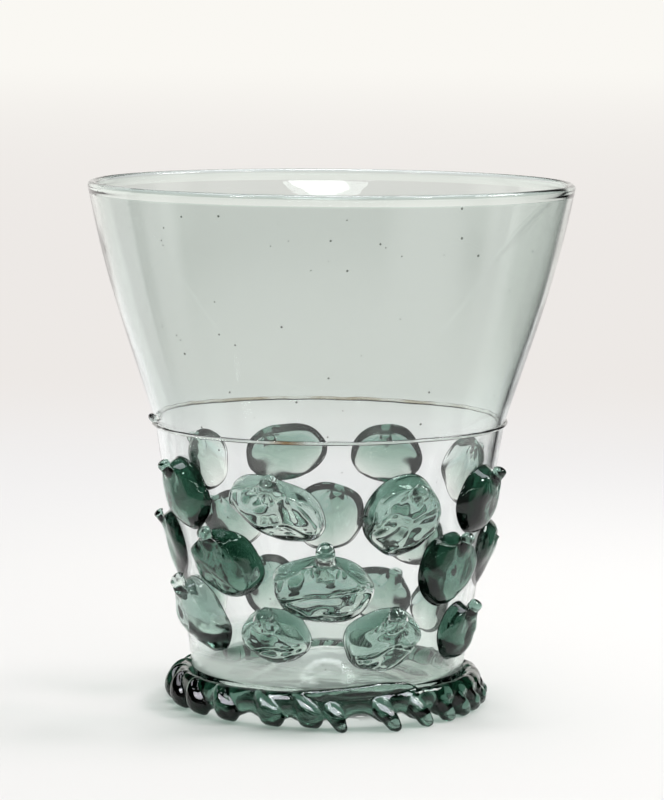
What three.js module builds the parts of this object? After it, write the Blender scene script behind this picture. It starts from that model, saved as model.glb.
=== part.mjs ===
// Prunted beaker: a late medieval drinking glass of green forest glass.
// A thin blown bowl flares from a waist, a glass thread runs round the waist, three rows of
// drawn-out blobs (prunts) sit below it, and a pinched coil of glass makes the foot.
//
// Millimetres, +Z up. The origin is in the middle of the plane that the foot stands on.
// Azimuths are in degrees round +Z. Zero is the front (-Y), and they grow towards +X.
import * as THREE from 'three';

// Bowl
const beakerHeight = 100;
const rimRadius = 46.4;
const rimBeadDiameter = 1.7;
const waistHeight = 54.4;
const waistRadius = 33.4;
const flareBellyWidth = 1;
const flareSkewShare = 1.3;
const baseRadius = 26;
const upperWall = 1.1;
const lowerWall = 1.6;
const floorThickness = 2.5;
const kickHeight = 5.8;
const baseGapHeight = 2.2;
const cornerHeight = 3.4;
const cornerWidth = 5.2;

// Foot: one coil laid round the base and pinched into toes
const coilTop = 7;
const coilWidth = 4.5;
const toeExtraWidth = 0.3;
const toeWidth = 1.7;
const toeSlantWidth = 2.6;
const archHeight = 3.3;
const archHeightShare = 0.34;
const lapHeightGain = 0.8;
const lapStartAzimuth = 3;
const lapEndAzimuth = 23;

// Waist thread
const threadDiameter = 0.9;
const threadEndGap = 0.4;
const threadLapLength = 7;
const threadStartAzimuth = -88;
const threadBlobDiameter = 2;

// Prunts. Height of each row is a share of the band between the foot and the thread, and the
// height of a prunt is a share of the spacing of the rows
const topRowShare = 0.751;
const middleRowShare = 0.462;
const lowerRowShare = 0.215;
const pruntWidth = 15;
const pruntHeightShare = 1.023;
const pruntThickness = 3;
const nubDiameter = 3;
const nubLength = 2.8;
const nubTilt = 64;

// Mark that the pontil iron left under the kick
const pontilRadius = 5.5;
const pontilThickness = 1.2;

// Every applied piece keeps this much off the glass that carries it
const seatGap = 0.3;

// Fineness of the surfaces
const bowlSegments = 56;
const pontilSegments = 24;
const pontilSides = 6;
const pruntSegments = 12;
const threadSegments = 6;
const threadSteps = 84;

const greenGlass = { color: 0x9fb8a6, roughness: 0.06, metalness: 0 };
const deepGreenGlass = { color: 0x5f8f78, roughness: 0.06, metalness: 0 };

const part = new THREE.Group();

function addPiece(name, geometry, finish) {
  const mesh = new THREE.Mesh(geometry, new THREE.MeshStandardMaterial(finish));
  mesh.name = name;
  part.add(mesh);
}

const lerp = THREE.MathUtils.lerp;
const radians = THREE.MathUtils.degToRad;
const degrees = THREE.MathUtils.radToDeg;

function polar(azimuth, radius, z) {
  const angle = radians(azimuth);
  return new THREE.Vector3(radius * Math.sin(angle), -radius * Math.cos(angle), z);
}

// Closed skin over rings of points. It closes on itself, or ends in a point at each end.
function skin(rings, ends = null) {
  const count = rings[0].length;
  const points = rings.flat();
  const faces = [];
  const spans = ends ? rings.length - 1 : rings.length;
  for (let i = 0; i < spans; i += 1) {
    const here = i * count;
    const next = ((i + 1) % rings.length) * count;
    for (let j = 0; j < count; j += 1) {
      const k = (j + 1) % count;
      faces.push(here + j, here + k, next + k, here + j, next + k, next + j);
    }
  }
  if (ends) {
    const first = points.push(ends[0]) - 1;
    const last = points.push(ends[1]) - 1;
    const lastRing = (rings.length - 1) * count;
    for (let j = 0; j < count; j += 1) {
      const k = (j + 1) % count;
      faces.push(first, k, j);
      faces.push(last, lastRing + j, lastRing + k);
    }
  }
  const geometry = new THREE.BufferGeometry().setFromPoints(points);
  geometry.setIndex(faces);
  geometry.computeVertexNormals();
  return geometry;
}

// Outside of the wall: straight up to the waist, then flaring with a slight belly
function outerRadius(z) {
  if (z <= waistHeight) {
    return lerp(baseRadius, waistRadius, (z - coilTop) / (waistHeight - coilTop));
  }
  const share = (z - waistHeight) / (beakerHeight - waistHeight);
  const belly = flareBellyWidth * Math.sin(Math.PI * share ** flareSkewShare);
  return lerp(waistRadius, rimRadius, share) + belly;
}

function innerRadius(z) {
  const share = THREE.MathUtils.clamp((z - coilTop) / (waistHeight - coilTop), 0, 1);
  return outerRadius(z) - lerp(lowerWall, upperWall, share);
}

// Underside of the floor, which the kick pushes up in the middle
const cornerTop = baseGapHeight + cornerHeight;
const restRadius = outerRadius(cornerTop) - cornerWidth;

function underside(radius) {
  const share = Math.min(radius / restRadius, 1);
  return baseGapHeight + (kickHeight * (1 + Math.cos(Math.PI * share))) / 2;
}

function bowlProfile() {
  const points = [];
  const kickSteps = 5;
  const cornerSteps = 3;
  const wallSteps = 9;
  const rimSteps = 4;
  for (let i = 0; i <= kickSteps; i += 1) {
    const radius = (restRadius * i) / kickSteps;
    points.push(new THREE.Vector2(radius, underside(radius)));
  }
  for (let i = 1; i <= cornerSteps; i += 1) {
    const angle = (Math.PI / 2) * (i / cornerSteps);
    const radius = restRadius + cornerWidth * Math.sin(angle);
    points.push(new THREE.Vector2(radius, cornerTop - cornerHeight * Math.cos(angle)));
  }
  points.push(new THREE.Vector2(waistRadius, waistHeight));
  const beadRadius = rimBeadDiameter / 2;
  const beadHeight = beakerHeight - beadRadius;
  for (let i = 1; i <= wallSteps; i += 1) {
    const z = lerp(waistHeight, beadHeight, i / wallSteps);
    points.push(new THREE.Vector2(outerRadius(z), z));
  }
  const beadCentre = outerRadius(beadHeight) - beadRadius;
  for (let i = 1; i <= rimSteps; i += 1) {
    const angle = Math.PI * (i / rimSteps);
    const radius = beadCentre + beadRadius * Math.cos(angle);
    points.push(new THREE.Vector2(radius, beadHeight + beadRadius * Math.sin(angle)));
  }
  for (let i = wallSteps - 1; i >= 0; i -= 1) {
    const z = lerp(waistHeight, beadHeight, i / wallSteps);
    points.push(new THREE.Vector2(innerRadius(z), z));
  }
  const innerCornerTop = cornerTop + floorThickness;
  const innerRest = restRadius - floorThickness / 2;
  const innerReach = innerRadius(innerCornerTop) - innerRest;
  for (let i = cornerSteps; i >= 1; i -= 1) {
    const angle = (Math.PI / 2) * (i / cornerSteps);
    const radius = innerRest + innerReach * Math.sin(angle);
    points.push(new THREE.Vector2(radius, innerCornerTop - cornerHeight * Math.cos(angle)));
  }
  for (let i = kickSteps; i >= 0; i -= 1) {
    const radius = (innerRest * i) / kickSteps;
    points.push(new THREE.Vector2(radius, underside((restRadius * i) / kickSteps) + floorThickness));
  }
  return points;
}

addPiece('bowl', new THREE.LatheGeometry(bowlProfile(), bowlSegments).rotateX(Math.PI / 2), greenGlass);

// Mark of the pontil iron: a low ring of broken glass under the kick
function pontilGeometry() {
  const ring = pontilThickness / 2;
  const centre = underside(pontilRadius + ring) - seatGap - ring;
  const points = [];
  for (let i = 0; i <= pontilSides; i += 1) {
    const angle = 2 * Math.PI * (i / pontilSides);
    points.push(new THREE.Vector2(pontilRadius + ring * Math.cos(angle), centre + ring * Math.sin(angle)));
  }
  return new THREE.LatheGeometry(points, pontilSegments).rotateX(Math.PI / 2);
}

addPiece('pontil_scar', pontilGeometry(), greenGlass);

// Waist thread: one trailed turn whose two ends pass each other, the upper one in a small blob
function threadGeometry() {
  const lapAngle = degrees(threadLapLength / waistRadius);
  const thin = threadDiameter / 2;
  const blob = threadBlobDiameter / 2;
  const climb = threadDiameter + threadEndGap;
  const place = (share, out, up) => {
    const azimuth = threadStartAzimuth + (360 + lapAngle) * share;
    const z = waistHeight + climb * (share - 1 / 2) + up;
    return polar(azimuth, outerRadius(z) + seatGap + out, z);
  };
  const rings = [];
  for (let i = 0; i <= threadSteps; i += 1) {
    const half = i < threadSteps ? thin : blob;
    const ring = [];
    for (let j = 0; j < threadSegments; j += 1) {
      const angle = 2 * Math.PI * (j / threadSegments);
      ring.push(place(i / threadSteps, half * (1 + Math.sin(angle)), half * (1 + Math.cos(angle)) - thin));
    }
    rings.push(ring);
  }
  const tip = degrees(threadBlobDiameter / 2 / waistRadius) / (360 + lapAngle);
  return skin(rings, [place(-tip / 2, thin, 0), place(1 + tip, blob, blob - thin)]);
}

addPiece('waist_thread', threadGeometry(), greenGlass);

// Foot ring. Azimuths of the toes, which the glassmaker pinched by eye
const toeAzimuths = [
  -75, -61.9, -49, -36, -20, -6.5, 6, 26.8, 40.6, 51.1, 60.5, 70.5, 81, 93,
  106, 119, 131.5, 144.5, 157, 170, 183, 195.5, 208.5, 221, 234, 246.5, 259.5, 272,
];

// Outline of the coil from its top outwards: shares of its width from the wall, and of its height
const coilOutlineShares = [
  [0.16, 0.93], [0.48, 1], [0.82, 0.84], [1, 0.5], [0.92, 0], [0.52, 0], [0.1, 0.28], [0, 0.62],
];

// Height of the lap, where the end of the coil lies on its start
function lapHeight(azimuth) {
  const share = (azimuth - lapStartAzimuth) / (lapEndAzimuth - lapStartAzimuth);
  return share > 0 && share < 1 ? lapHeightGain * share : 0;
}

// One section of the coil. Pinch is 1 in a toe and 0 in the middle of an arch
function coilSection(azimuth, pinch, lift) {
  const slantAngle = degrees(toeSlantWidth / (baseRadius + coilWidth));
  const top = coilTop + lapHeight(azimuth);
  const bottom = lift * (1 - pinch);
  return coilOutlineShares.map(([widthShare, heightShare]) => {
    const z = lerp(bottom, top, heightShare);
    const width = coilWidth + toeExtraWidth * pinch;
    const turn = slantAngle * (1 - z / coilTop);
    const wall = outerRadius(Math.max(z, cornerTop)) + seatGap;
    return polar(azimuth + turn, wall + width * widthShare, z);
  });
}

// Sections between two toes: how far across the arch, and how much of the toe is left there
const archShares = [
  { across: 0.25, pinch: 0.3 },
  { across: 0.5, pinch: 0 },
  { across: 0.75, pinch: 0.3 },
];

function footGeometry() {
  const rings = [];
  const toeTurn = degrees(toeWidth / 2 / (baseRadius + coilWidth));
  toeAzimuths.forEach((toe, i) => {
    const wraps = i === toeAzimuths.length - 1;
    const next = wraps ? toeAzimuths[0] + 360 : toeAzimuths[i + 1];
    const start = toe + toeTurn;
    const end = next - toeTurn;
    const spacing = radians(next - toe) * (baseRadius + coilWidth);
    const lift = Math.min(archHeight, spacing * archHeightShare);
    rings.push(coilSection(toe - toeTurn, 1, 0));
    rings.push(coilSection(start, 1, 0));
    for (const { across, pinch } of archShares) {
      rings.push(coilSection(lerp(start, end, across), pinch, lift));
    }
  });
  return skin(rings);
}

addPiece('foot_ring', footGeometry(), deepGreenGlass);

const rowSpacing = ((topRowShare - lowerRowShare) / 2) * (waistHeight - coilTop);
const pruntHeight = pruntHeightShare * rowSpacing;

// Rings of the blob from its back to its crown: shares of its half width and half height,
// of how far its middle climbs towards the nub, and of how proud it stands
const blobShares = [
  { spread: 0.55, climb: 0, proud: 0 },
  { spread: 1, climb: 0, proud: 0 },
  { spread: 1, climb: 0.02, proud: 0.26 },
  { spread: 0.86, climb: 0.12, proud: 0.64 },
  { spread: 0.58, climb: 0.4, proud: 0.94 },
];

// Rings of the nub: shares of its length, of its diameter and of its tilt
const nubShares = [
  { along: 0, spread: 1.15, tilt: 0.3 },
  { along: 0.35, spread: 0.9, tilt: 0.7 },
  { along: 0.72, spread: 0.85, tilt: 1 },
];

// Each prunt has its azimuth and the turn of its oval in degrees, then shares: its rise over
// the row in heights; its width, height and proudness; the lean of its nub in half widths, the
// nub's root in half heights, and the nub's length
const topPruntShares = [
  [-57.4, -14, 0, 0.92, 1, 0.92, -0.1, 0.78, 0.85],
  [-17.8, -20, -0.08, 1.25, 0.84, 1, 0.04, 0.92, 1.1],
  [25.5, 12, -0.18, 1, 1.14, 1, 0.1, 0.74, 0.7],
  [62.7, 12, -0.1, 0.93, 0.98, 0.95, 0, 0.78, 0.85],
  [118.5, 0, 0, 1, 1, 1.1, 0, 0.78, 1],
  [157.6, 8, 0.1, 1.02, 0.92, 1, 0.1, 0.78, 1],
  [197, -6, 0.12, 1.14, 0.87, 1, -0.1, 0.8, 1],
  [232, 10, 0.08, 0.76, 0.92, 1, 0, 0.78, 1],
];
const middlePruntShares = [
  [-79, 0, 0.13, 0.98, 1.08, 0.5, 0, 0.72, 0.15],
  [-39, -10, 0.1, 1.02, 0.95, 1.05, 0.05, 0.95, 1],
  [-2, -4, -0.2, 1.26, 0.94, 1.05, 0.06, 1.06, 1.5],
  [47.5, 8, 0, 0.88, 1.04, 1.05, 0.05, 0.9, 0.9],
  [85, 0, 0.1, 0.98, 0.97, 0.48, 0, 0.74, 0.15],
  [144, 6, -0.04, 1.08, 0.86, 1, 0.1, 0.78, 1],
  [180.5, -8, 0.17, 1, 1, 0.95, 0, 0.78, 1],
  [222.5, 4, 0.2, 1.08, 0.86, 1, -0.1, 0.78, 1],
];
const lowerPruntShares = [
  [-56.5, -38, 0.17, 1.1, 0.86, 0.78, -0.14, 1.12, 1],
  [-19.7, -8, 0, 0.84, 0.8, 0.95, -0.05, 0.86, 0.9],
  [21.5, 6, -0.06, 0.97, 0.93, 1, 0.05, 0.9, 1],
  [59.5, 18, -0.08, 0.66, 0.86, 0.78, 0.1, 0.86, 0.9],
  [129, -6, -0.14, 0.76, 0.78, 0.9, 0, 0.78, 1],
  [157.5, 8, -0.06, 0.98, 0.8, 0.95, 0.1, 0.78, 1],
  [206, 0, 0.08, 0.8, 0.92, 1, -0.1, 0.78, 1],
  [243, -10, 0, 0.82, 0.84, 0.95, 0, 0.78, 1],
];

// Point near the wall: aside along the wall, up it and out from it, measured from a place on it
function onWall(azimuth, height, aside, up, out) {
  const slope = Math.atan2(waistRadius - baseRadius, waistHeight - coilTop);
  const z = height + up * Math.cos(slope);
  const off = seatGap + out;
  const turned = azimuth + degrees(aside / outerRadius(height));
  return polar(turned, outerRadius(z) + off * Math.cos(slope), z - off * Math.sin(slope));
}

function pruntGeometry(shares, rowShare) {
  const [azimuth, turnDegrees, riseShare, widthShare, heightShare, proudShare] = shares;
  const [leanShare, rootShare, nubShare] = shares.slice(-3);
  const halfWidth = (pruntWidth * widthShare) / 2;
  const halfHeight = (pruntHeight * heightShare) / 2;
  const proud = pruntThickness * proudShare;
  const length = nubLength * nubShare;
  const height = lerp(coilTop, waistHeight, rowShare) + pruntHeight * riseShare;
  const turn = radians(turnDegrees);
  const lean = halfWidth * leanShare;
  const root = halfHeight * rootShare;
  const place = (aside, up, out) => onWall(azimuth, height, aside, up, out);
  const ringOf = (pointAt) => {
    const ring = [];
    for (let i = 0; i < pruntSegments; i += 1) {
      ring.push(pointAt(2 * Math.PI * (i / pruntSegments)));
    }
    return ring;
  };
  const blobRings = blobShares.map(({ spread, climb, proud: proudAt }) => ringOf((angle) => {
    const across = spread * halfWidth * Math.cos(angle);
    const along = spread * halfHeight * Math.sin(angle);
    const aside = across * Math.cos(turn) - along * Math.sin(turn) + lean * climb;
    const up = across * Math.sin(turn) + along * Math.cos(turn) + root * climb;
    return place(aside, up, proud * proudAt);
  }));
  const nubPoint = (along, round, tilt, angle) => {
    const up = root + length * along * Math.sin(radians(nubTilt));
    const out = proud + length * along * Math.cos(radians(nubTilt));
    const rise = round * Math.sin(angle);
    return place(lean + round * Math.cos(angle), up + rise * Math.cos(tilt), out - rise * Math.sin(tilt));
  };
  const nubRadius = (nubDiameter / 2) * Math.sqrt(Math.min(nubShare, 1));
  const nubRings = nubShares.map(({ along, spread, tilt }) => {
    const round = nubRadius * spread;
    return ringOf((angle) => nubPoint(along, round, radians(nubTilt * tilt), angle));
  });
  return skin([...blobRings, ...nubRings], [place(0, 0, 0), nubPoint(1, 0, 0, 0)]);
}

function addRow(name, rowOfShares, rowShare) {
  rowOfShares.forEach((shares, i) => {
    addPiece(`${name}_${i + 1}`, pruntGeometry(shares, rowShare), deepGreenGlass);
  });
}

addRow('prunt_top', topPruntShares, topRowShare);
addRow('prunt_middle', middlePruntShares, middleRowShare);
addRow('prunt_lower', lowerPruntShares, lowerRowShare);

export default part;
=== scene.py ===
# Looks of the prunted beaker: every glass piece is built again in fine mesh, in the place that its
# CAD node holds, with glass that darkens with its thickness. Sizes of the beaker are in millimetres
# and are turned to metres when a mesh is made. Sizes of textures and of the studio are in metres.
# Azimuths are in degrees: zero is the front, -Y, and they grow towards +X.
import math

import bmesh
import bpy
from mathutils import Matrix, Vector, noise


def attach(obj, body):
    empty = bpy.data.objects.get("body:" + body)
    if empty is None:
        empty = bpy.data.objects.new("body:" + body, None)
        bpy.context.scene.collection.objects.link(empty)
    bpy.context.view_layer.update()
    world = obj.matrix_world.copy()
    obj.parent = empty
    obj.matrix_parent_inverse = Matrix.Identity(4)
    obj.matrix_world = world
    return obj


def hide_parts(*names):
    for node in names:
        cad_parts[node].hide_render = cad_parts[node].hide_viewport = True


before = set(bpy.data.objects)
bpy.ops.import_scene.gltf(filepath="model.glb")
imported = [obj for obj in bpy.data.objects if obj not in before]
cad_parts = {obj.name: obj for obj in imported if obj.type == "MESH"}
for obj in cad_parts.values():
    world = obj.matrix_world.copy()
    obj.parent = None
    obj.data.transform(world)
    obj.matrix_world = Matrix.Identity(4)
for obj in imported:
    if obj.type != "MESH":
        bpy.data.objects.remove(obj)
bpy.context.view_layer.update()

MM = 0.001

# Bowl
BEAKER_HEIGHT = 100.0
RIM_RADIUS = 46.4
RIM_BEAD = 1.7
WAIST_HEIGHT = 54.4
WAIST_RADIUS = 33.4
FLARE_BELLY = 1.0
FLARE_SKEW = 1.3
BASE_RADIUS = 26.0
UPPER_WALL = 1.1
LOWER_WALL = 1.6
FLOOR_THICKNESS = 2.5
KICK_RISE = 5.8
BASE_LIFT = 2.2
CORNER_RISE = 3.4
CORNER_REACH = 5.2

# Waves in the bowl's skin: how deep, radius of their circle in the noise, how long upwards, and how
# far off the inner skin's waves are in the noise
WALL_WOBBLE = 0.06
WOBBLE_CIRCLE = 1.6
WOBBLE_LENGTH = 14.0
WOBBLE_INSIDE = 7.0

# Foot
COIL_TOP = 7.0
LAP_START = 3.0

# Pale film low in the bowl: where it starts, how high it is full and how far up it fades. It has
# one share on the left and another on the right, and changes over this far to each side.
FILM_START = 7.3
FILM_FULL = 10.0
FILM_FADE = 3.0
FILM_LEFT = 0.46
FILM_RIGHT = 0.15
FILM_SIDE = 14.0

# The greener glass begins this far under the waist and is full this far over it
GREENER_BELOW = 4.0
GREENER_ABOVE = 2.0

# Waist thread
THREAD_DIAMETER = 0.9
THREAD_END_GAP = 0.4
THREAD_LAP = 7.0
THREAD_START = -88.0
THREAD_BLOB = 2.0

# Uneven thread: its usual share of the diameter, how much that changes, lumps in the turn, how far it
# strays up and down, bends in the turn, another row of the noise, and where its end swells
THREAD_SHARE = 0.85
THREAD_UNEVEN = 0.16
THREAD_LUMPS = 60
THREAD_DRIFT = 0.12
THREAD_BENDS = 14
THREAD_ROW = 5
THREAD_SWELL = (0.992, 1.0)

# Dirt along the back of the thread: its most and least share, its grain to the metre, detail and
# edges. Then the azimuth and reach of the rusty spot in front.
DIRT_SHARE = 0.85
DIRT_LEAST = 0.3
DIRT_GRAIN = 170.0
DIRT_DETAIL = 3.0
DIRT_EDGES = (0.36, 0.6)
RUST_AZIMUTH = -13.5
RUST_SPOT = 4.0

# Prunts
TOP_ROW = 0.751
MIDDLE_ROW = 0.462
LOWER_ROW = 0.215
PRUNT_WIDTH = 15.0
PRUNT_HEIGHT = 13.0
PRUNT_PROUD = 3.3
NUB_DIAMETER = 3.0
NUB_LENGTH = 2.8
NUB_TILT = 64.0

# Pontil scar: its roughness as a share, and the roughness's circles in the noise
PONTIL_RADIUS = 5.5
PONTIL_THICKNESS = 1.2
PONTIL_ROUGH = 0.35
PONTIL_CIRCLE = 3.0
PONTIL_SECTION = 4

# How deep an applied piece sits in the glass that carries it
SUNK = 0.4

GLASS_IOR = 1.5
ABSORPTION_COLOUR = (0.26, 0.51, 0.42, 1.0)
BOWL_DENSITY = 25.0
# Four copies of the prunt glass differ only in density, to paint light and shade on the prunts
LIGHTER_PRUNT_DENSITY = 150.0
PRUNT_DENSITY = 235.0
DARKER_PRUNT_DENSITY = 440.0
DARKEST_PRUNT_DENSITY = 620.0
FOOT_DENSITY = 610.0

# Colours
WHITE = (1.0, 1.0, 1.0, 1.0)
LOWER_TINT = (0.99, 1.0, 1.0, 1.0)
UPPER_TINT = (0.868, 0.915, 0.897, 1.0)
RIM_TINT = (0.8, 0.86, 0.84, 1.0)
KICK_TINT = (0.93, 0.99, 0.95, 1.0)
DIRT_COLOUR = (0.44, 0.34, 0.2, 1.0)
RUST_COLOUR = (0.42, 0.2, 0.03, 1.0)
SEED_COLOUR = (0.08, 0.09, 0.08, 1.0)
SHADOW_COLOUR = (0.998, 0.993, 0.995, 1.0)

# Seeds: cells to the metre, the share of cells without one, how much rarer the big ones are, and the
# radius of the biggest as a share of a cell
SEED_CELLS = 300.0
SEED_NONE = 0.4
SEED_FALL = 1.6
SEED_SIZE = 0.08

# Ripples of the skin: grain to the metre and depth in metres, for each kind of glass
BOWL_RIPPLE = (90.0, 0.00003)
PRUNT_RIPPLE = (200.0, 0.000012)
DEEP_RIPPLE = (240.0, 0.00018)
FOOT_RIPPLE = (260.0, 0.00024)
THREAD_RIPPLE = (200.0, 0.00004)
RIPPLE_DETAIL = 2.0
THREAD_ROUGHNESS = 0.06


def lerp(a, b, share):
    return a + (b - a) * share


def smooth_step(low, high, value):
    share = min(max((value - low) / (high - low), 0.0), 1.0)
    return share * share * (3 - 2 * share)


def polar(azimuth, radius, z):
    angle = math.radians(azimuth)
    return Vector((radius * math.sin(angle), -radius * math.cos(angle), z))


def outer_radius(z):
    if z <= WAIST_HEIGHT:
        return lerp(BASE_RADIUS, WAIST_RADIUS, (z - COIL_TOP) / (WAIST_HEIGHT - COIL_TOP))
    share = (z - WAIST_HEIGHT) / (BEAKER_HEIGHT - WAIST_HEIGHT)
    return lerp(WAIST_RADIUS, RIM_RADIUS, share) + FLARE_BELLY * math.sin(math.pi * share ** FLARE_SKEW)


def inner_radius(z):
    share = min(max((z - COIL_TOP) / (WAIST_HEIGHT - COIL_TOP), 0.0), 1.0)
    return outer_radius(z) - lerp(LOWER_WALL, UPPER_WALL, share)


CORNER_TOP = BASE_LIFT + CORNER_RISE
REST_RADIUS = outer_radius(CORNER_TOP) - CORNER_REACH


def underside(radius):
    share = min(radius / REST_RADIUS, 1.0)
    return BASE_LIFT + KICK_RISE * (1 + math.cos(math.pi * share)) / 2


def wall_at(z):
    return outer_radius(max(z, CORNER_TOP))


# Meshes


def add_piece(name, points, faces, material, node):
    mesh = bpy.data.meshes.new(name)
    mesh.from_pydata([point * MM for point in points], [], faces)
    work = bmesh.new()
    work.from_mesh(mesh)
    if work.calc_volume(signed=True) < 0:
        bmesh.ops.reverse_faces(work, faces=work.faces)
    work.to_mesh(mesh)
    work.free()
    mesh.shade_smooth()
    mesh.materials.append(material)
    piece = bpy.data.objects.new(name, mesh)
    bpy.context.scene.collection.objects.link(piece)
    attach(piece, "root")
    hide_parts(node)
    return piece


def skin(rings, ends=None):
    """Closed skin over rings of points, as (points, faces). It closes on itself or ends in two points."""
    count = len(rings[0])
    points = [point for ring in rings for point in ring]
    faces = []
    spans = len(rings) if ends is None else len(rings) - 1
    for i in range(spans):
        here = i * count
        onward = ((i + 1) % len(rings)) * count
        for j in range(count):
            k = (j + 1) % count
            faces.append((here + j, here + k, onward + k, onward + j))
    if ends is not None:
        first = len(points)
        points.extend(ends)
        last_ring = (len(rings) - 1) * count
        for j in range(count):
            k = (j + 1) % count
            faces.append((first, k, j))
            faces.append((first + 1, last_ring + j, last_ring + k))
    return points, faces


def spline(rows, steps):
    """Catmull-Rom curve through rows of vectors, with steps points for each span."""
    out = []
    last = len(rows) - 1
    for i in range(last):
        around = [rows[max(i - 1, 0)], rows[i], rows[i + 1], rows[min(i + 2, last)]]
        for step in range(steps):
            t = step / steps
            weights = (
                (-t + 2 * t * t - t ** 3) / 2,
                (2 - 5 * t * t + 3 * t ** 3) / 2,
                (t + 4 * t * t - 3 * t ** 3) / 2,
                (t ** 3 - t * t) / 2,
            )
            row = []
            for points in zip(*around):
                total = Vector((0, 0, 0))
                for weight, point in zip(weights, points):
                    total += point * weight
                row.append(total)
            out.append(row)
    out.append(list(rows[last]))
    return out


# Materials


class Tree:
    """Nodes of a material or a world, linked as they are made."""

    def __init__(self, owner):
        owner.use_nodes = True
        self.nodes = owner.node_tree.nodes
        self.links = owner.node_tree.links
        self.nodes.clear()

    def make(self, kind, inputs=None, **settings):
        """Node with its settings, and with each input linked to a socket or set to a plain value."""
        node = self.nodes.new(kind)
        for name, value in settings.items():
            setattr(node, name, value)
        for key, value in (inputs or {}).items():
            if isinstance(value, bpy.types.NodeSocket):
                self.links.new(value, node.inputs[key])
            else:
                node.inputs[key].default_value = value
        return node

    def math(self, operation, *values):
        return self.make("ShaderNodeMath", dict(enumerate(values)), operation=operation).outputs[0]

    def ramp(self, value, low, high, start=0.0, end=1.0, shape="LINEAR"):
        inputs = {"Value": value, "From Min": low, "From Max": high, "To Min": start, "To Max": end}
        return self.make("ShaderNodeMapRange", inputs, interpolation_type=shape).outputs["Result"]

    def step(self, value, low, high, start=0.0, end=1.0):
        return self.ramp(value, low, high, start, end, "SMOOTHSTEP")

    def colour(self, share, first, second):
        return self.make("ShaderNodeMix", {0: share, 6: first, 7: second}, data_type="RGBA").outputs[2]

    def number(self, share, first, second):
        return self.make("ShaderNodeMix", {0: share, 2: first, 3: second}).outputs[0]

    def blend(self, share, first, second):
        return self.make("ShaderNodeMixShader", {0: share, 1: first, 2: second}).outputs["Shader"]

    def grain(self, place, scale, detail, distortion=0.0):
        inputs = {"Vector": place, "Scale": scale, "Detail": detail, "Distortion": distortion}
        return self.make("ShaderNodeTexNoise", inputs).outputs["Fac"]

    def split(self, place):
        return self.make("ShaderNodeSeparateXYZ", {"Vector": place}).outputs

    def ray(self, kind):
        return self.make("ShaderNodeLightPath").outputs[f"Is {kind} Ray"]


def glass_material(name, density, ripple, roughness=0.0, stain=None):
    """Green glass: clear body that absorbs along the way, with a rippled skin.

    Rays from lamps and from the floor go straight through it. A stain gives some of the inputs.
    """
    material = bpy.data.materials.new(name)
    tree = Tree(material)
    place = tree.make("ShaderNodeTexCoord").outputs["Object"]
    scale, depth = ripple
    waves = tree.grain(place, scale, RIPPLE_DETAIL)
    bump = tree.make("ShaderNodeBump", {"Strength": 1.0, "Distance": depth, "Height": waves})
    inputs = {
        "Base Color": WHITE,
        "Transmission Weight": 1.0,
        "IOR": GLASS_IOR,
        "Roughness": roughness,
        "Normal": bump.outputs["Normal"],
    }
    if stain is not None:
        inputs.update(stain(tree, place))
    surface = tree.make("ShaderNodeBsdfPrincipled", inputs).outputs["BSDF"]
    through = tree.make("ShaderNodeBsdfTransparent", {"Color": SHADOW_COLOUR}).outputs["BSDF"]
    surface = tree.blend(tree.ray("Diffuse"), surface, through)
    surface = tree.blend(tree.ray("Shadow"), surface, through)
    body = tree.make("ShaderNodeVolumeAbsorption", {"Density": density, "Color": ABSORPTION_COLOUR})
    tree.make("ShaderNodeOutputMaterial", {"Surface": surface, "Volume": body.outputs["Volume"]})
    return material


def seeds(tree, place):
    """One inside the tiny dark seeds and zero elsewhere. Most seeds are small."""
    cells = tree.make("ShaderNodeTexVoronoi", {"Vector": place, "Scale": SEED_CELLS}).outputs
    lot = tree.make("ShaderNodeSeparateColor", {"Color": cells["Color"]}).outputs["Red"]
    size = tree.math("POWER", tree.ramp(lot, SEED_NONE, 1.0), SEED_FALL)
    return tree.math("LESS_THAN", cells["Distance"], tree.math("MULTIPLY", size, SEED_SIZE))


def bowl_stain(tree, place):
    """The upper wall and the rim are a little greener, and a pale film lies low in the bowl."""
    x, _, z = tree.split(place)
    film = tree.ramp(z, FILM_FULL * MM, (FILM_FULL + FILM_FADE) * MM, 1.0, 0.0)
    over = tree.ramp(z, (FILM_START - SUNK / 2) * MM, FILM_START * MM)
    share = tree.ramp(x, -FILM_SIDE * MM, FILM_SIDE * MM, FILM_LEFT, FILM_RIGHT)
    cover = tree.math("MULTIPLY", tree.math("MULTIPLY", over, share), film)
    upper = tree.ramp(z, (WAIST_HEIGHT - GREENER_BELOW) * MM, (WAIST_HEIGHT + GREENER_ABOVE) * MM)
    rim = tree.ramp(z, (BEAKER_HEIGHT - RIM_BEAD) * MM, (BEAKER_HEIGHT - RIM_BEAD / 4) * MM)
    tint = tree.colour(film, LOWER_TINT, KICK_TINT)
    tint = tree.colour(upper, tint, UPPER_TINT)
    tint = tree.colour(rim, tint, RIM_TINT)
    tint = tree.colour(seeds(tree, place), tint, SEED_COLOUR)
    return {"Base Color": tint, "Transmission Weight": tree.math("SUBTRACT", 1.0, cover)}


def thread_stain(tree, place):
    """Brown dirt lies along the far side of the thread, in patches, and rust on one spot in front."""
    back = tree.ramp(tree.split(place)["Y"], 0.0, WAIST_RADIUS * MM, 0.0, DIRT_SHARE)
    patches = tree.ramp(tree.grain(place, DIRT_GRAIN, DIRT_DETAIL), *DIRT_EDGES, DIRT_LEAST)
    spot = polar(RUST_AZIMUTH, WAIST_RADIUS, WAIST_HEIGHT) * MM
    away = tree.make("ShaderNodeVectorMath", {0: place, 1: spot}, operation="DISTANCE").outputs["Value"]
    tint = tree.colour(tree.math("MULTIPLY", back, patches), WHITE, DIRT_COLOUR)
    return {"Base Color": tree.colour(tree.ramp(away, RUST_SPOT * MM, 0.0), tint, RUST_COLOUR)}


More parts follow.
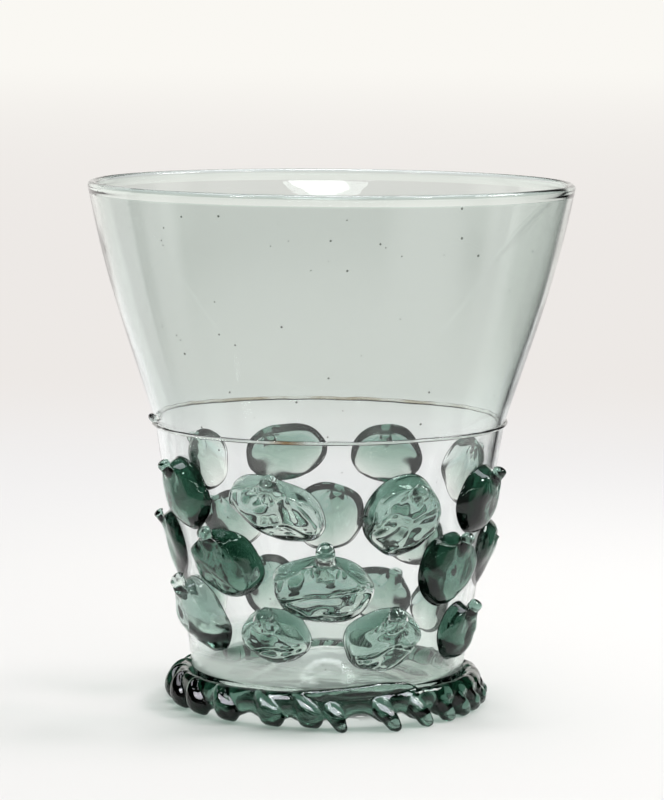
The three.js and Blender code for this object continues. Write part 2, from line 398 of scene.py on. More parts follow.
bowl_glass = glass_material("bowl_glass", BOWL_DENSITY, BOWL_RIPPLE, stain=bowl_stain)
# Copies of the prunt glass that absorb less or more, as painted light and painted shade on the prunts
lighter_prunt_glass = glass_material("prunt_copy_painted_lighter", LIGHTER_PRUNT_DENSITY, PRUNT_RIPPLE)
prunt_glass = glass_material("prunt_glass", PRUNT_DENSITY, PRUNT_RIPPLE)
darker_prunt_glass = glass_material("prunt_copy_painted_darker", DARKER_PRUNT_DENSITY, PRUNT_RIPPLE)
darkest_prunt_glass = glass_material("prunt_copy_painted_darkest", DARKEST_PRUNT_DENSITY, DEEP_RIPPLE)
foot_glass = glass_material("foot_glass", FOOT_DENSITY, FOOT_RIPPLE)
thread_glass = glass_material("thread_glass", BOWL_DENSITY, THREAD_RIPPLE, THREAD_ROUGHNESS, thread_stain)


# Bowl


def bowl_profile():
    points = []
    kick_steps = 14
    corner_steps = 10
    lower_steps = 8
    wall_steps = 60
    rim_steps = 10
    for i in range(1, kick_steps + 1):
        radius = REST_RADIUS * i / kick_steps
        points.append((radius, underside(radius)))
    for i in range(1, corner_steps + 1):
        angle = (math.pi / 2) * (i / corner_steps)
        radius = REST_RADIUS + CORNER_REACH * math.sin(angle)
        points.append((radius, CORNER_TOP - CORNER_RISE * math.cos(angle)))
    for i in range(1, lower_steps + 1):
        z = lerp(CORNER_TOP, WAIST_HEIGHT, i / lower_steps)
        points.append((outer_radius(z), z))
    bead = RIM_BEAD / 2
    bead_height = BEAKER_HEIGHT - bead
    for i in range(1, wall_steps + 1):
        z = lerp(WAIST_HEIGHT, bead_height, i / wall_steps)
        points.append((outer_radius(z), z))
    bead_centre = outer_radius(bead_height) - bead
    for i in range(1, rim_steps + 1):
        angle = math.pi * (i / rim_steps)
        points.append((bead_centre + bead * math.cos(angle), bead_height + bead * math.sin(angle)))
    for i in range(wall_steps - 1, -1, -1):
        z = lerp(WAIST_HEIGHT, bead_height, i / wall_steps)
        points.append((inner_radius(z), z))
    inner_top = CORNER_TOP + FLOOR_THICKNESS
    for i in range(lower_steps - 1, 0, -1):
        z = lerp(inner_top, WAIST_HEIGHT, i / lower_steps)
        points.append((inner_radius(z), z))
    inner_rest = REST_RADIUS - FLOOR_THICKNESS / 2
    reach = inner_radius(inner_top) - inner_rest
    for i in range(corner_steps, 0, -1):
        angle = (math.pi / 2) * (i / corner_steps)
        points.append((inner_rest + reach * math.sin(angle), inner_top - CORNER_RISE * math.cos(angle)))
    for i in range(kick_steps, 0, -1):
        share = i / kick_steps
        points.append((inner_rest * share, underside(REST_RADIUS * share) + FLOOR_THICKNESS))
    return points


def wobble(azimuth, z, depth):
    place = polar(azimuth, WOBBLE_CIRCLE, z / WOBBLE_LENGTH) + Vector((0, 0, depth))
    return WALL_WOBBLE * noise.noise(place)


def make_bowl():
    segments = 192
    rings = []
    for radius, z in bowl_profile():
        outside = radius >= wall_at(z) - UPPER_WALL / 2
        depth = 0.0 if outside else WOBBLE_INSIDE
        ring = []
        for j in range(segments):
            azimuth = 360 * j / segments
            ring.append(polar(azimuth, radius + wobble(azimuth, z, depth), z))
        rings.append(ring)
    ends = [Vector((0, 0, underside(0))), Vector((0, 0, underside(0) + FLOOR_THICKNESS))]
    points, faces = skin(rings, ends)
    return add_piece("bowl_body", points, faces, bowl_glass, "bowl")


make_bowl()


# Pontil scar: a low ring of broken glass under the kick


def make_pontil():
    rounds = 48
    sides = 12
    ring_radius = PONTIL_THICKNESS / 2
    centre = underside(PONTIL_RADIUS + ring_radius) - ring_radius / 2
    rings = []
    for i in range(rounds):
        azimuth = 360 * i / rounds
        ring = []
        for j in range(sides):
            angle = 2 * math.pi * j / sides
            place = polar(azimuth, PONTIL_CIRCLE, PONTIL_SECTION * math.sin(angle))
            rough = 1 + PONTIL_ROUGH * noise.noise(place)
            radius = PONTIL_RADIUS + ring_radius * rough * math.cos(angle)
            ring.append(polar(azimuth, radius, centre + ring_radius * rough * math.sin(angle)))
        rings.append(ring)
    points, faces = skin(rings)
    return add_piece("pontil_ring", points, faces, bowl_glass, "pontil_scar")


make_pontil()


# Waist thread


def make_thread():
    steps = 420
    sides = 12
    lap = math.degrees(THREAD_LAP / WAIST_RADIUS)
    climb = THREAD_DIAMETER + THREAD_END_GAP
    thin = THREAD_DIAMETER / 2 * THREAD_SHARE
    rings = []

    def place(share, out, up):
        azimuth = THREAD_START + (360 + lap) * share
        z = WAIST_HEIGHT + climb * (share - 1 / 2) + up
        return polar(azimuth, outer_radius(z) + out - SUNK / 2, z)

    for i in range(steps + 1):
        share = i / steps
        uneven = 1 + THREAD_UNEVEN * noise.noise(Vector((share * THREAD_LUMPS, 0, 0)))
        swell = smooth_step(*THREAD_SWELL, share) * (THREAD_BLOB / THREAD_DIAMETER - 1)
        half = thin * (uneven + swell)
        drift = THREAD_DRIFT * noise.noise(Vector((share * THREAD_BENDS, THREAD_ROW, 0)))
        ring = []
        for j in range(sides):
            angle = 2 * math.pi * j / sides
            out = half * (1 + math.sin(angle))
            ring.append(place(share, out, half * (1 + math.cos(angle)) - thin + drift))
        rings.append(ring)
    tip = math.degrees(THREAD_BLOB / 2 / WAIST_RADIUS) / (360 + lap)
    ends = [place(-tip / 2, thin, 0), place(1 + tip, THREAD_BLOB / 2, THREAD_BLOB / 2 - thin)]
    points, faces = skin(rings, ends)
    return add_piece("waist_trail", points, faces, thread_glass, "waist_thread")


make_thread()


# Foot ring

# Slanting fins that the pincers left on the coil: azimuth of each one's lowest point
FINS = (-84, -70, -55, -39, -20, -5.5, 136, 149, 162, 175, 188, 201, 214, 227, 240, 252.5, 264.5)

# Toes that are drawn out of the coil: azimuth of the tip, its distance from the wall and its height
# above the floor, how thick it is there, and how thick it is at its shoulder
TOES = (
    (5, 5.8, 0.0, 0.95, 1.8), (23.5, 6.8, 0.0, 1.05, 1.8), (37.5, 5.7, 0.0, 1.1, 1.8),
    (50, 5.0, 0.0, 1.25, 1.8), (60.5, 4.8, 0.1, 1.5, 1.9), (70.5, 4.7, 0.2, 1.6, 2.0),
    (81, 4.7, 0.3, 1.65, 2.0), (92, 4.7, 0.3, 1.65, 2.0), (103, 4.7, 0.2, 1.65, 2.0),
    (114, 4.8, 0.1, 1.6, 2.0), (125, 4.9, 0.0, 1.5, 2.0),
)

# The coil's own tube: how far its middle is from the wall, its height, and its half sizes
TUBE_OUT = 1.5
TUBE_HEIGHT = 4.8
TUBE_HALF_WIDTH = 1.9
TUBE_HALF_HEIGHT = 2.0

# How far the tube's underside is drawn down next to a toe and next to a fin, how wide, and how many
# degrees before its lowest point
TOE_WEB = (1.9, 4.6)
FIN_WEB = (2.0, 8.0)
WEB_SHIFT = 1.5

# Uneven tube: how much its size and height change, and the radius of their circle in the noise
TUBE_UNEVEN = 0.12
TUBE_CIRCLE = 2.2

# Stops of a fin: degrees past its lowest point, distance from the wall, height and two half sizes
FIN_STOPS = (
    (-7.6, 0.9, 6.2, 0.4, 0.4), (-7.2, 1.4, 6.0, 1.1, 1.0), (-5.8, 2.4, 5.4, 1.4, 1.7),
    (-4.0, 3.1, 4.4, 1.7, 2.1), (-2.0, 3.3, 3.3, 2.2, 2.3), (-0.4, 3.2, 2.3, 2.4, 2.1),
    (0.4, 3.0, 1.3, 2.0, 1.6), (0.7, 2.9, 0.6, 1.2, 0.9), (0.7, 2.9, 0.3, 0.5, 0.4),
)

# Root of a toe inside the tube: degrees past the tip, how far in and over the tube's middle, half size
TOE_ROOT = (-5.2, 0.4, 1.3, 0.4)

# Stops of a toe's shoulder: degrees past the tip, shares of the way out and of the way down to the
# tip, how far over that way, and shares of the shoulder's thickness
TOE_SHOULDER = (
    (-5.0, 0.0, 0.0, 1.0, 0.75, 0.6), (-3.4, 0.45, 0.25, 0.0, 1.0, 0.9),
    (-1.6, 0.8, 0.6, 0.0, 0.9, 0.85),
)

# Stops of a toe's tip: degrees past it, how far out and over its middle, how far under that as a
# share of its thickness, and two more shares of its thickness
TOE_TIP = (
    (-0.3, 0.0, 0.2, 0.0, 1.3, 1.25), (0.5, 0.3, 0.0, 0.4, 1.0, 1.0), (0.8, 0.4, 0.0, 0.85, 0.6, 0.6),
    (0.9, 0.45, 0.0, 1.0, 0.25, 0.25),
)

# Flattened end of the coil, which lies on its start: degrees past the lap's start, distance from the
# wall, how far under the coil's top, and two half sizes. Its section is squarer by a share.
TONGUE_STOPS = (
    (-20, 1.3, 1.2, 0.4, 0.4), (-16, 1.5, 1.1, 1.1, 1.0), (-6, 1.9, 0.6, 1.5, 1.2),
    (6, 2.2, 0.4, 0.9, 1.4), (18, 2.0, 0.1, 0.75, 1.6), (27, 1.7, 0.3, 0.75, 1.55),
    (32, 1.5, 0.6, 0.7, 1.2), (35, 1.4, 0.8, 0.3, 0.5),
)
TONGUE_SQUARE = 0.22

# The strands are fused with cubes of this size, and then settle
VOXEL = 0.2
SETTLE_FACTOR = 0.5
SETTLE_ROUNDS = 6


def strand(stops, steps=4, closed=False, drawn=False, square=0.0):
    """Strand of glass through stops: azimuth, distance from the wall, height and two half sizes.

    The half sizes lie outwards and upwards, or on a drawn strand aside and across its path. The
    section is round, or squarer by a share.
    """
    rows = spline([[Vector(stop[:3]), Vector((stop[3], stop[4], 0))] for stop in stops], steps)
    sides = 24
    centres = [polar(place.x, wall_at(place.z) + place.y, place.z) for place, half in rows]
    rings = []
    for i, (place, half) in enumerate(rows):
        first = polar(place.x, 1, 0)
        second = Vector((0, 0, 1))
        if drawn:
            path = centres[min(i + 1, len(rows) - 1)] - centres[max(i - 1, 0)]
            path.normalize()
            first = second.cross(first)
            second = path.cross(first).normalized()
            first = second.cross(path)
        ring = []
        for j in range(sides):
            angle = 2 * math.pi * j / sides
            fuller = 1 + square * math.sin(2 * angle) ** 2
            wide = half * fuller
            ring.append(centres[i] + first * wide.x * math.cos(angle) + second * wide.y * math.sin(angle))
        rings.append(ring)
    if closed:
        return skin(rings[:-1])
    return skin(rings, [centres[0], centres[-1]])


def fin_strand(azimuth):
    """Fin that slants down over the coil: thin at its top, deep outwards, round and broad at its foot."""
    return strand([(azimuth + turn, *rest) for turn, *rest in FIN_STOPS], drawn=True)


def toe_strand(azimuth, out, lift, thick, shoulder):
    """Toe like a finger, from the top of the tube outwards and down to its round tip."""
    low = lift + thick
    away = out - thick
    turn, inwards, over, half = TOE_ROOT
    stops = [(azimuth + turn, TUBE_OUT - inwards, TUBE_HEIGHT + over, half, half)]
    for turn, way_out, way_down, over, wide, deep in TOE_SHOULDER:
        reach = lerp(TUBE_OUT, away, way_out)
        height = lerp(TUBE_HEIGHT, low, way_down) + over
        stops.append((azimuth + turn, reach, height, shoulder * wide, shoulder * deep))
    for turn, beyond, over, under, wide, deep in TOE_TIP:
        height = low + over - thick * under
        stops.append((azimuth + turn, away + beyond, height, thick * wide, thick * deep))
    return strand(stops, drawn=True)


def foot_tongue():
    stops = []
    for turn, out, under, wide, deep in TONGUE_STOPS:
        stops.append((LAP_START + turn, out, COIL_TOP - under, wide, deep))
    return strand(stops, square=TONGUE_SQUARE)


def web(azimuth):
    """How far the tube's underside is drawn down next to the toes and fins."""
    lowest = [(toe[0], TOE_WEB) for toe in TOES] + [(fin, FIN_WEB) for fin in FINS]
    drop = 0.0
    for place, (depth, width) in lowest:
        away = (azimuth - (place - WEB_SHIFT) + 180) % 360 - 180
        drop = max(drop, depth * math.exp(-(away / width) ** 2))
    return drop


def make_foot():
    tube = []
    stops = 180
    for i in range(stops + 1):
        azimuth = 360 * i / stops
        swell = TUBE_UNEVEN * noise.noise(polar(azimuth, TUBE_CIRCLE, 0))
        drop = web(azimuth) / 2
        height = TUBE_HEIGHT + swell - drop
        tube.append((azimuth, TUBE_OUT + drop / 2, height, TUBE_HALF_WIDTH + swell, TUBE_HALF_HEIGHT + drop))
    parts = [strand(tube, 1, closed=True)]
    parts.extend(fin_strand(azimuth) for azimuth in FINS)
    parts.extend(toe_strand(*toe) for toe in TOES)
    parts.append(foot_tongue())
    points = []
    faces = []
    for part_points, part_faces in parts:
        faces.extend(tuple(len(points) + k for k in face) for face in part_faces)
        points.extend(part_points)
    piece = add_piece("foot_coil", points, faces, foot_glass, "foot_ring")
    fuse = piece.modifiers.new("fuse", "REMESH")
    fuse.mode = "VOXEL"
    fuse.voxel_size = VOXEL * MM
    fuse.use_smooth_shade = True
    settle = piece.modifiers.new("settle", "SMOOTH")
    settle.factor = SETTLE_FACTOR
    settle.iterations = SETTLE_ROUNDS
    return piece


foot_coil = make_foot()


# Prunts

# Azimuth and turn of the oval in degrees, then shares: rise over the row, width, height, proudness,
# lean of the nub, root of the nub and length of the nub. The front ones also have the depth of the
# folds under the nub, and of the fold across the blob with its place and slope.
TOP_PRUNTS = (
    (-57.4, -14, 0, 0.92, 1, 0.92, -0.1, 0.78, 0.7, 0, 0, 0, 0),
    (-17.8, -20, -0.08, 1.25, 0.84, 1.1, 0.04, 0.92, 1, 0.24, 0.8, -2.2, -0.25),
    (25.5, 12, -0.18, 1, 1.14, 1.25, 0.1, 0.74, 0.6, 0.2, 0.4, 1.5, 0.3),
    (62.7, 12, -0.1, 0.93, 0.98, 0.95, 0, 0.78, 0.8, 0.06, 0, 0, 0),
    (118.5, 0, 0, 1, 1, 0.8, -0.1, 0.6, 0.7),
    (157.6, 8, 0.1, 1.02, 0.92, 0.95, 0.2, 0.5, 0.6),
    (197, -6, 0.12, 1.14, 0.87, 0.95, 0.25, 0.4, 0.6),
    (232, 10, 0.08, 0.76, 0.92, 0.8, 0.1, 0.6, 0.8),
)
MIDDLE_PRUNTS = (
    (-79, 0, 0.13, 0.98, 1.08, 0.5, 0, 0.9, 0.5),
    (-39, -10, 0.1, 1.02, 0.95, 1.15, -0.12, 0.95, 0.85, 0.26, 0.3, -1.5, -0.9),
    (-2, -4, -0.2, 1.26, 0.94, 1.2, 0.06, 1.08, 1.7, 0.24, 0.85, 0.2, 0.2),
    (47.5, 8, 0, 0.88, 1.04, 1.1, 0.1, 0.9, 0.7, 0.04, 0, 0, 0),
    (85, 0, 0.06, 0.98, 1, 0.62, 0, 0.5, 0.15),
    (144, 6, -0.04, 1.08, 0.86, 0.85, -0.25, 0.6, 0.7),
    (180.5, -8, 0.17, 1, 1, 0.85, -0.25, 0.6, 0.7),
    (222.5, 4, 0.2, 1.08, 0.86, 0.85, 0.25, 0.55, 0.7),
)
LOWER_PRUNTS = (
    (-56.5, -38, 0.17, 1.1, 0.86, 0.85, -0.14, 1.12, 0.9, 0.25, 0.6, -2.5, 0.2),
    (-19.7, -8, 0, 0.84, 0.8, 1.1, -0.05, 0.86, 0.85, 0.12, 0.7, -1.5, 0.1),
    (21.5, 6, -0.06, 0.97, 0.93, 1.1, 0.05, 0.9, 0.9, 0.24, 0.7, -1.2, 0.15),
    (59.5, 18, -0.08, 0.66, 0.86, 0.85, 0.1, 0.86, 0.8, 0.2, 0.3, -1.0, 0.4),
    (129, -6, -0.14, 0.76, 0.78, 0.75, -0.1, 0.6, 0.6),
    (157.5, 8, -0.06, 0.98, 0.8, 0.9, -0.25, 0.6, 0.8),
    (206, 0, 0.08, 0.8, 0.92, 0.9, 0.2, 0.6, 0.8),
    (243, -10, 0, 0.82, 0.84, 0.85, 0.1, 0.55, 0.7),
)

# Rings of the blob from its back to its shoulder: shares of its half width and half height, of how
# far its middle climbs towards the nub, of how proud it stands, and of how proud it stands on the
# lower side where it runs out thin
BLOB_RINGS = (
    (0.5, 0.0, 0.0, 0.0), (0.9, 0.0, 0.0, 0.0), (1.03, 0.0, 0.03, 0.02), (1.035, 0.0, 0.1, 0.05),
    (1.0, 0.01, 0.2, 0.09), (0.955, 0.02, 0.38, 0.16), (0.88, 0.06, 0.57, 0.26),
    (0.78, 0.14, 0.75, 0.39), (0.65, 0.28, 0.88, 0.56), (0.5, 0.46, 0.96, 0.77), (0.37, 0.68, 1.0, 0.96),
)

# Rings of the nub: shares of its length, of its diameter and of its tilt
NUB_RINGS = (
    (-0.14, 1.55, 0.1), (0.1, 1.08, 0.35), (0.34, 0.92, 0.7), (0.58, 0.96, 0.92), (0.8, 0.84, 1.0),
    (0.93, 0.55, 1.0), (0.985, 0.25, 1.0),
)

# So many of a prunt's values give its shape, and the front ones have more, for the folds
SHAPE_VALUES = 9

# Folds of a prunt without values for them: depth under the nub, and depth, place and slope across
PLAIN_FOLDS = (0.08, 0.0, 0.0, 0.0)

# Where a back prunt runs out thin: shares of the way down its lower side
RUN_OUT = (-0.3, 0.8)

# Uneven outline: its share and its grain
OUTLINE_UNEVEN = 0.09
OUTLINE_GRAIN = 1.4

# Shares of the way from the back to the nub's tip over which lumps and drape come in and go out
LUMPS_IN = (0.22, 0.36)
LUMPS_OUT = (0.78, 0.95)
DRAPE_IN = (0.4, 0.6)
DRAPE_OUT = (0.64, 0.85)

# Lumps: size, depth, and how much deeper they are for each share of folds
LUMP_SIZE = 4.8
LUMP_DEPTH = 0.4
LUMP_FOLDS = 2.8

# Fold across a blob: half width of its edge, how far its far side reaches, how much of it comes
# back there, how far it bends, size of the bends, and another row of the noise
FOLD_EDGE = 0.7
FOLD_REACH = 3.8
FOLD_BACK = 0.8
FOLD_BEND = 1.8
FOLD_BEND_SIZE = 4.0
FOLD_ROW = 3

# Drape under a nub: where it hangs free, least distance down for its angle, reach, spread of the cone
# as an angle, depths of the cone and of the ripples, and ripples round it
DRAPE_HANG = (-0.6, 1.0)
DRAPE_LEAST = 0.01
DRAPE_REACH = 3.6
CONE_SPREAD = 0.8
CONE_DEPTH = 2.6
RIPPLE_DEPTH = 0.9
RIPPLE_COUNT = 5

# Wavering of the ripples: how much, waves to the radian, and size
WAVER = 2
WAVER_ROUND = 1.5
WAVER_SIZE = 3.0


def on_wall(azimuth, height, aside, up, out):
    slope = math.atan2(WAIST_RADIUS - BASE_RADIUS, WAIST_HEIGHT - COIL_TOP)
    z = height + up * math.cos(slope)
    turned = azimuth + math.degrees(aside / outer_radius(height))
    return polar(turned, outer_radius(z) + out * math.cos(slope), z - out * math.sin(slope))


def lumps(point, seed, folds, crease, place, slope):
    """Uneven skin of a blob, with one fold that runs across it."""
    broad = noise.noise(Vector((point.x / LUMP_SIZE, point.y / LUMP_SIZE, seed)))
    bend = FOLD_BEND * noise.noise(Vector((point.x / FOLD_BEND_SIZE, seed, FOLD_ROW)))
    across = point.y - place - slope * point.x + bend
    back = FOLD_BACK * smooth_step(-FOLD_REACH, -FOLD_EDGE, across)
    fold = smooth_step(-FOLD_EDGE, FOLD_EDGE, across) - 1 + back
    return (LUMP_DEPTH + LUMP_FOLDS * folds) * broad + crease * (fold + 1 / 2)


def drape(point, lean, root, seed, folds):
    """Cone of glass that hangs from the nub in folds, like cloth from a peg."""
    aside = point.x - lean
    down = root - point.y
    angle = math.atan2(aside, max(down, DRAPE_LEAST))
    away = math.hypot(aside, down)
    waver = noise.noise(Vector((angle * WAVER_ROUND, away / WAVER_SIZE, seed)))
    hang = smooth_step(*DRAPE_HANG, down)
    cone = math.exp(-(away / DRAPE_REACH) ** 2 - (angle / CONE_SPREAD) ** 2)
    ripple = math.exp(-(away / DRAPE_REACH) ** 2) * math.cos(RIPPLE_COUNT * angle + WAVER * waver + seed)
    return folds * hang * (CONE_DEPTH * cone + RIPPLE_DEPTH * ripple)


def make_prunt(name, node, shares, row, glass):
    shape, own_folds = shares[:SHAPE_VALUES], shares[SHAPE_VALUES:]
    azimuth, turn_degrees, rise, width, tall, proud_share, lean_share, root_share, nub_share = shape
    folds, crease, place, slope = own_folds or PLAIN_FOLDS
    thin_side = 0.0 if own_folds else 1.0
    seed = azimuth
    half_width = PRUNT_WIDTH * width / 2
    half_height = PRUNT_HEIGHT * tall / 2
    proud = PRUNT_PROUD * proud_share + SUNK
    length = NUB_LENGTH * nub_share
    height = lerp(COIL_TOP, WAIST_HEIGHT, row) + PRUNT_HEIGHT * rise
    turn = math.radians(turn_degrees)
    lean = half_width * lean_share
    root = half_height * root_share
    nub_radius = NUB_DIAMETER / 2 * math.sqrt(min(nub_share, 1))
    sides = 80
    steps = 4
    rows = []
    for spread, climb, full, low in BLOB_RINGS:
        ring = []
        for j in range(sides):
            angle = 2 * math.pi * j / sides
            outline = Vector((math.cos(angle), math.sin(angle), seed)) * OUTLINE_GRAIN
            uneven = 1 + OUTLINE_UNEVEN * noise.noise(outline)
            across = spread * uneven * half_width * math.cos(angle)
            along = spread * uneven * half_height * math.sin(angle)
            stand = lerp(full, low, thin_side * smooth_step(*RUN_OUT, -math.sin(angle)))
            aside = across * math.cos(turn) - along * math.sin(turn) + lean * climb
            up = across * math.sin(turn) + along * math.cos(turn) + root * climb
            ring.append(Vector((aside, up, proud * stand - SUNK)))
        rows.append(ring)
    tilt = math.radians(NUB_TILT)
    for along, spread, tilt_share in NUB_RINGS:
        ring = []
        middle_up = root + length * along * math.sin(tilt)
        middle_out = proud - SUNK + length * along * math.cos(tilt)
        for j in range(sides):
            angle = 2 * math.pi * j / sides
            across = nub_radius * spread * math.cos(angle)
            rise_by = nub_radius * spread * math.sin(angle)
            part = tilt * tilt_share
            up = middle_up + rise_by * math.cos(part)
            ring.append(Vector((lean + across, up, middle_out - rise_by * math.sin(part))))
        rows.append(ring)
    fine = spline(rows, steps)
    for i, ring in enumerate(fine):
        share = i / (len(fine) - 1)
        free = smooth_step(*LUMPS_IN, share) * (1 - smooth_step(*LUMPS_OUT, share))
        neck = smooth_step(*DRAPE_IN, share) * (1 - smooth_step(*DRAPE_OUT, share))
        for point in ring:
            skin_rise = lumps(point, seed, folds, crease, place, slope)
            point.z += free * skin_rise * proud_share + neck * drape(point, lean, root, seed, folds)
    middle = Vector((0, 0, -SUNK))
    tip = Vector((lean, root + length * math.sin(tilt), proud - SUNK + length * math.cos(tilt)))
    placed = [[on_wall(azimuth, height, *point) for point in ring] for ring in fine]
    ends = [on_wall(azimuth, height, *middle), on_wall(azimuth, height, *tip)]
    points, faces = skin(placed, ends)
    return add_piece(name, points, faces, glass, node)


# Painted shade and light on the prunts: each takes one of four copies of the same green glass, which differ
# only in how much they absorb. The darkest copy paints shade on the prunts at the sides, the lightest copy
# paints light on two, and prunts not listed take the darker copy.
PRUNT_SHADE_COPIES = {
    "top_1": darkest_prunt_glass, "top_2": lighter_prunt_glass, "top_3": prunt_glass, "top_4": darkest_prunt_glass,
    "top_5": prunt_glass, "top_8": prunt_glass, "middle_1": darkest_prunt_glass, "middle_2": darkest_prunt_glass,
    "middle_3": prunt_glass, "middle_4": darkest_prunt_glass, "middle_5": darkest_prunt_glass, "lower_1": lighter_prunt_glass,
    "lower_2": prunt_glass, "lower_3": prunt_glass, "lower_4": darkest_prunt_glass,
}

for row_name, row_shares, row_height in (
    ("top", TOP_PRUNTS, TOP_ROW),
    ("middle", MIDDLE_PRUNTS, MIDDLE_ROW),
    ("lower", LOWER_PRUNTS, LOWER_ROW),
):
    for number, prunt_shares in enumerate(row_shares, 1):
        label = f"{row_name}_{number}"
        prunt_kind = PRUNT_SHADE_COPIES.get(label, darker_prunt_glass)
        make_prunt(f"drop_{label}", f"prunt_{label}", prunt_shares, row_height, prunt_kind)


# Floor and studio

FLOOR_RADIUS = 40.0
FLOOR_CORNERS = 128
FLOOR_DROP = 0.00001
FLOOR_ALBEDO = (0.8, 0.792, 0.78, 1.0)
# Painted shadow: the paper under the beaker is near black
SHADOW_DISC_ALBEDO = (0.06, 0.06, 0.06, 1.0)
NEAR_COLOUR = (0.89, 0.88, 0.88, 1.0)
MID_COLOUR = (0.847, 0.815, 0.79, 1.0)
FAR_COLOUR = (0.955, 0.938, 0.896, 1.0)
LILAC = (0.93, 0.9, 1.0)
GAP_LIGHT = 0.01
SOFT_LIGHT = 0.73

# Radii between which the floor changes: from the painted shadow under the beaker, a near-black disc of
# paper, to open paper, from near to mid and to far colour, and from lit to glowing by itself, for the camera
# and for bent rays. Mirrored rays meet that at twice the radius.
SHADOW_DISC_RADII = (0.014, 0.022)
NEAR_TO_MID = (0.25, 0.6)
MID_TO_FAR = (1.0, 5.0)
GLOW_SEEN = (0.12, 0.4)
GLOW_BENT = (0.055, 0.12)
MIRRORED_CUT = 0.5

# Streaks of gathered light under the beaker: grain to the metre, detail, distortion and edges
STREAK_GRAIN = 170.0
STREAK_DETAIL = 1.0
STREAK_DISTORTION = 1.5
STREAK_EDGES = (0.52, 0.58)

# Pale sides of the studio: azimuth of the middle, half the angle, softness of the edge and level.
# The rest is dark. They end above, between these heights of a direction of length one.
PALE_SIDES = (
    (179, 30, 4, 1.0), (225, 27, 2, 1.2), (260, 18, 6, 0.4), (272, 10, 6, 0.9), (45, 14, 12, 0.95),
    (88, 9, 6, 0.7), (0, 40, 30, 0.15),
)
PALE_TOP = (0.2, 0.34)

# Lamps: name, azimuth, elevation, distance, size, power, colour, and the rays that don't see it
LAMP_HEIGHT = 0.05
LAMPS = (
    ("key", 104, 43, 0.8, (0.34, 0.18), 2.3, WHITE[:3], ("transmission",)),
    ("front_strip", 4, 22, 1.2, (1.07, 0.035), 0.7, WHITE[:3], ()),
    ("top_bank", 180, 82, 1.0, (0.36, 0.26), 2.8, WHITE[:3], ()),
    ("overhead", 180, 74, 1.0, (1.1, 0.5), 7.0, LILAC, ("diffuse", "transmission")),
    ("left_spot", -52, 48, 1.0, (0.14, 0.09), 1.6, WHITE[:3], ("diffuse", "transmission")),
    ("right_spot", 60, 56, 1.0, (0.12, 0.08), 1.4, WHITE[:3], ("diffuse", "transmission")),
    ("foot_box", 8, 62, 0.6, (1.0, 0.5), 17.0, LILAC, ("diffuse", "transmission")),
)


def pale_sides(tree, x, y):
    """Level of the studio's sides towards a direction, from its parts along X and Y."""
    squares = tree.math("ADD", tree.math("MULTIPLY", x, x), tree.math("MULTIPLY", y, y))
    length = tree.math("SQRT", squares)
    level = GAP_LIGHT
    for middle, half, edge, bright in PALE_SIDES:
        angle = math.radians(middle)
        along_x = tree.math("MULTIPLY", x, math.sin(angle))
        along_y = tree.math("MULTIPLY", y, -math.cos(angle))
        cosine = tree.math("DIVIDE", tree.math("ADD", along_x, along_y), length)
        low = math.cos(math.radians(half + edge))
        high = math.cos(math.radians(half - edge))
        level = tree.math("MAXIMUM", level, tree.step(cosine, low, high, 0.0, bright))
    return level


def make_floor():
    mesh = bpy.data.meshes.new("floor")
    work = bmesh.new()
    bmesh.ops.create_circle(work, cap_ends=True, segments=FLOOR_CORNERS, radius=FLOOR_RADIUS)
    work.to_mesh(mesh)
    work.free()
    floor = bpy.data.objects.new("floor", mesh)
    bpy.context.scene.collection.objects.link(floor)
    floor.location.z = -FLOOR_DROP
    material = bpy.data.materials.new("floor_paper")
    tree = Tree(material)
    place = tree.make("ShaderNodeNewGeometry").outputs["Position"]
    x, y, _ = tree.split(place)
    radius = tree.make("ShaderNodeVectorMath", {0: place}, operation="LENGTH").outputs["Value"]
    streaks = tree.step(tree.grain(place, STREAK_GRAIN, STREAK_DETAIL, STREAK_DISTORTION), *STREAK_EDGES)
    # Painted shadow under the beaker: near-black paper, broken by painted streaks of gathered light
    outside_shadow_disc = tree.math("MAXIMUM", tree.step(radius, *SHADOW_DISC_RADII), streaks)
    albedo = tree.colour(outside_shadow_disc, SHADOW_DISC_ALBEDO, FLOOR_ALBEDO)
    paper = tree.make("ShaderNodeBsdfDiffuse", {"Color": albedo}).outputs["BSDF"]
    colour = tree.colour(tree.step(radius, *NEAR_TO_MID), NEAR_COLOUR, MID_COLOUR)
    colour = tree.colour(tree.step(radius, *MID_TO_FAR), colour, FAR_COLOUR)
    level = tree.number(tree.ray("Camera"), pale_sides(tree, x, y), 1.0)
    glow = tree.make("ShaderNodeEmission", {"Color": colour, "Strength": level}).outputs["Emission"]
    nearer = tree.math("MULTIPLY_ADD", tree.ray("Glossy"), -MIRRORED_CUT, 1.0)
    bent = tree.step(tree.math("MULTIPLY", radius, nearer), *GLOW_BENT)
    share = tree.number(tree.ray("Camera"), bent, tree.step(radius, *GLOW_SEEN))
    tree.make("ShaderNodeOutputMaterial", {"Surface": tree.blend(share, paper, glow)})
    floor.data.materials.append(material)


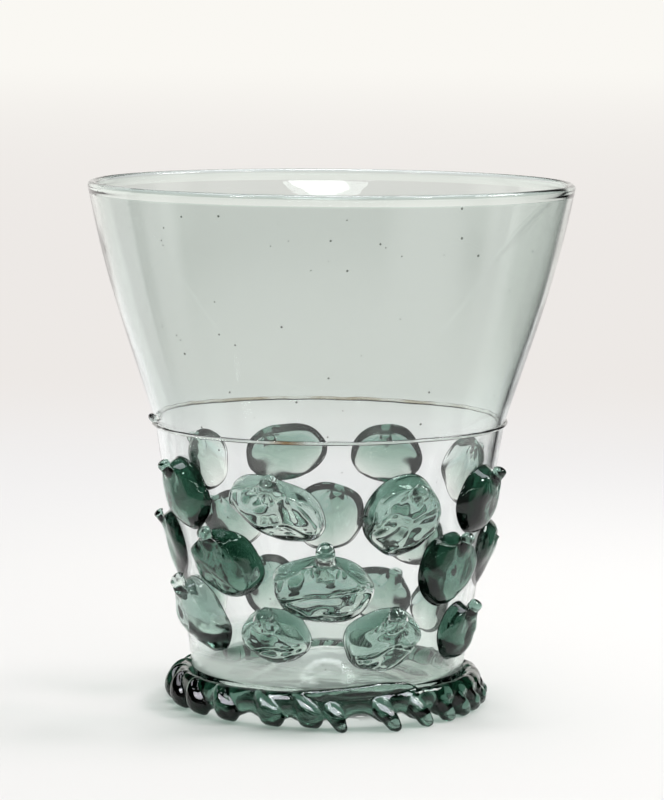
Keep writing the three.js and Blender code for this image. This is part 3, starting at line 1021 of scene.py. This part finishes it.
def make_world():
    world = bpy.data.worlds.new("studio")
    bpy.context.scene.world = world
    tree = Tree(world)
    x, y, z = tree.split(tree.make("ShaderNodeTexCoord").outputs["Generated"])
    sides = tree.math("MULTIPLY", pale_sides(tree, x, y), tree.step(z, *PALE_TOP, 1.0, 0.0))
    level = tree.math("MAXIMUM", sides, GAP_LIGHT)
    backgrounds = []
    for colour, strength in ((FAR_COLOUR, level), (WHITE, SOFT_LIGHT), (FAR_COLOUR, 1.0)):
        node = tree.make("ShaderNodeBackground", {"Color": colour, "Strength": strength})
        backgrounds.append(node.outputs["Background"])
    bent, soft, seen = backgrounds
    surface = tree.blend(tree.ray("Diffuse"), bent, soft)
    surface = tree.blend(tree.ray("Camera"), surface, seen)
    tree.make("ShaderNodeOutputWorld", {"Surface": surface})


def add_lamp(name, azimuth, elevation, distance, size, power, colour, unseen):
    lamp = bpy.data.lights.new(name, "AREA")
    lamp.shape = "RECTANGLE"
    lamp.size, lamp.size_y = size
    lamp.energy = power
    lamp.color = colour
    holder = bpy.data.objects.new(name, lamp)
    bpy.context.scene.collection.objects.link(holder)
    away = polar(azimuth, math.cos(math.radians(elevation)), math.sin(math.radians(elevation)))
    holder.location = away * distance + Vector((0, 0, LAMP_HEIGHT))
    holder.rotation_mode = "QUATERNION"
    holder.rotation_quaternion = away.to_track_quat("Z", "Y")
    holder.visible_diffuse = "diffuse" not in unseen
    holder.visible_transmission = "transmission" not in unseen
    return holder


make_floor()
make_world()
lamps = {row[0]: add_lamp(*row) for row in LAMPS}

# The foot box lights the foot only
foot_only = bpy.data.collections.new("foot_only")
foot_only.objects.link(foot_coil)
lamps["foot_box"].light_linking.receiver_collection = foot_only


# Camera

CAMERA_DISTANCE = 0.700
CAMERA_HEIGHT = 0.1393
CAMERA_ASIDE = 0.00041
CAMERA_PITCH = 6.607
CAMERA_ROLL = 0.471
CAMERA_LENS = 166.05
CAMERA_SENSOR = 36.0
CLIP_START = 0.01
CLIP_END = 100.0

camera_data = bpy.data.cameras.new("camera")
camera_data.lens = CAMERA_LENS
camera_data.sensor_width = CAMERA_SENSOR
camera_data.clip_start = CLIP_START
camera_data.clip_end = CLIP_END
camera = bpy.data.objects.new("camera", camera_data)
bpy.context.scene.collection.objects.link(camera)
tilted = Matrix.Rotation(math.radians(90 - CAMERA_PITCH), 4, "X")
rolled = Matrix.Rotation(math.radians(CAMERA_ROLL), 4, "Z")
camera.matrix_world = Matrix.Translation((CAMERA_ASIDE, -CAMERA_DISTANCE, CAMERA_HEIGHT)) @ tilted @ rolled
bpy.context.scene.camera = camera
bpy.context.scene.view_settings.view_transform = "Standard"
bpy.context.scene.cycles.caustics_refractive = False
bpy.context.scene.cycles.caustics_reflective = False
